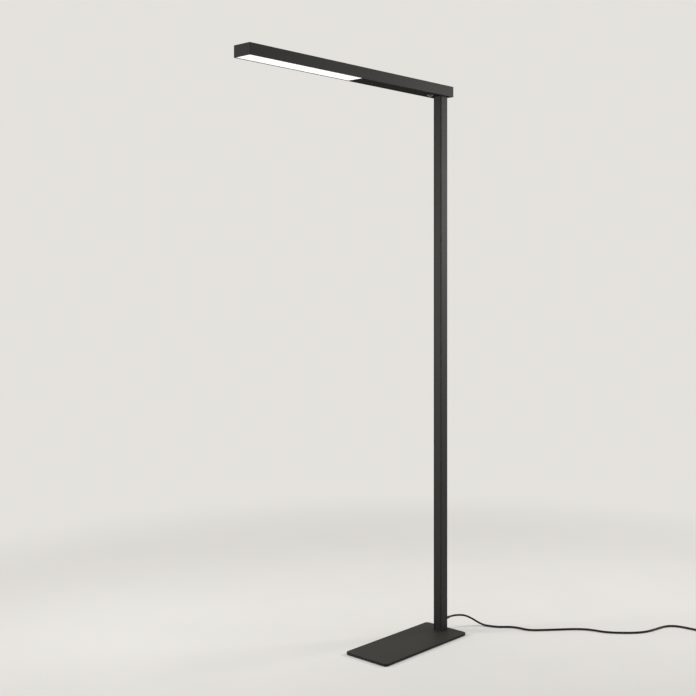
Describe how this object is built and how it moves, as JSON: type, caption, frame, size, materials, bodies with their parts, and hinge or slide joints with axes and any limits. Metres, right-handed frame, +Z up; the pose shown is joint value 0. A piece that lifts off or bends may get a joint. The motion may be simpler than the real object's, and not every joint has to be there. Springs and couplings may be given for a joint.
{
  "type": "office floor lamp",
  "caption": "Free-standing office floor lamp: a long flat head lies across a square post and lights down and up, over a thin steel base plate with a rear mains cord.",
  "frame": {"origin": "on the floor, on the axis of the post", "axes": "+Z up; the head reaches towards -X over the base plate; the mains cord leaves the post towards +X"},
  "size_m": [1.8, 0.8823, 1.95],
  "materials": {
    "base_steel": "matt black powder coat on steel",
    "black_aluminium": "matt black powder coat on extruded aluminium",
    "mat_rubber": "matt",
    "screw_steel": "zinc plated",
    "bare_aluminium": "milled",
    "opal_down": "opal, lit",
    "opal_up": "opal, lit",
    "white_plastic": "satin",
    "circuit_board": "white solder mask",
    "led": "yellow phosphor",
    "nickel": "bright nickel plate",
    "black_nickel": "brushed black nickel plate",
    "spring_steel": "bright wire",
    "black_plastic": "matt",
    "copper": "tinned copper",
    "brown_wire": "satin sleeve",
    "red_wire": "satin sleeve",
    "yellow_wire": "satin sleeve",
    "grey_wire": "satin sleeve",
    "cord_black": "satin sheath",
    "plug_black": "moulded",
    "tie_fabric": "woven hook-and-loop strap"
  },
  "bodies": {
    "lamp": {"base_plate": "base_steel", "base_mat": "mat_rubber", "base_screws": "screw_steel", "post_channel": "black_aluminium", "post_cover_strip": "black_aluminium", "mount_block": "bare_aluminium", "mount_screws": "screw_steel", "head_profile": "black_aluminium", "front_end_cap": "black_aluminium", "rear_end_cap": "black_aluminium", "downlight_diffuser": "opal_down", "downlight_reflector": "white_plastic", "downlight_board": "circuit_board", "downlight_leds": "led", "uplight_diffuser": "opal_up", "uplight_reflector": "white_plastic", "uplight_board": "circuit_board", "uplight_leds": "led", "board_screws": "screw_steel", "front_top_cover": "black_aluminium", "rear_top_cover": "black_aluminium", "underside_cover": "black_aluminium", "led_driver": "white_plastic", "driver_screws": "screw_steel", "terminal_block": "white_plastic", "cable_clamp": "white_plastic", "clamp_screws": "screw_steel", "earth_lug": "copper", "earth_screw": "screw_steel", "dimmer_bezel": "black_nickel", "dimmer_nut": "nickel", "dimmer_spring": "spring_steel", "dimmer_switch": "black_plastic", "inner_cable": "cord_black", "mains_wires": "brown_wire", "downlight_wires": "red_wire", "uplight_wires": "yellow_wire", "dimmer_wires": "grey_wire", "strain_relief": "plug_black", "mains_cord": "cord_black", "cord_coil": "cord_black", "cord_tail": "cord_black", "coil_tie": "tie_fabric", "plug_body": "plug_black", "plug_pins": "nickel", "plug_earth_clips": "nickel"},
    "button": {"dimmer_button": "black_nickel"}
  },
  "joints": [
    {"name": "button_press", "type": "slide", "parent": "lamp", "child": "button", "axis": [0, 0, 1], "range_m": [0, 0.0015], "stiffness_N_per_m": 800, "springref_m": -0.002, "deforming": ["dimmer_spring"]}
  ]
}
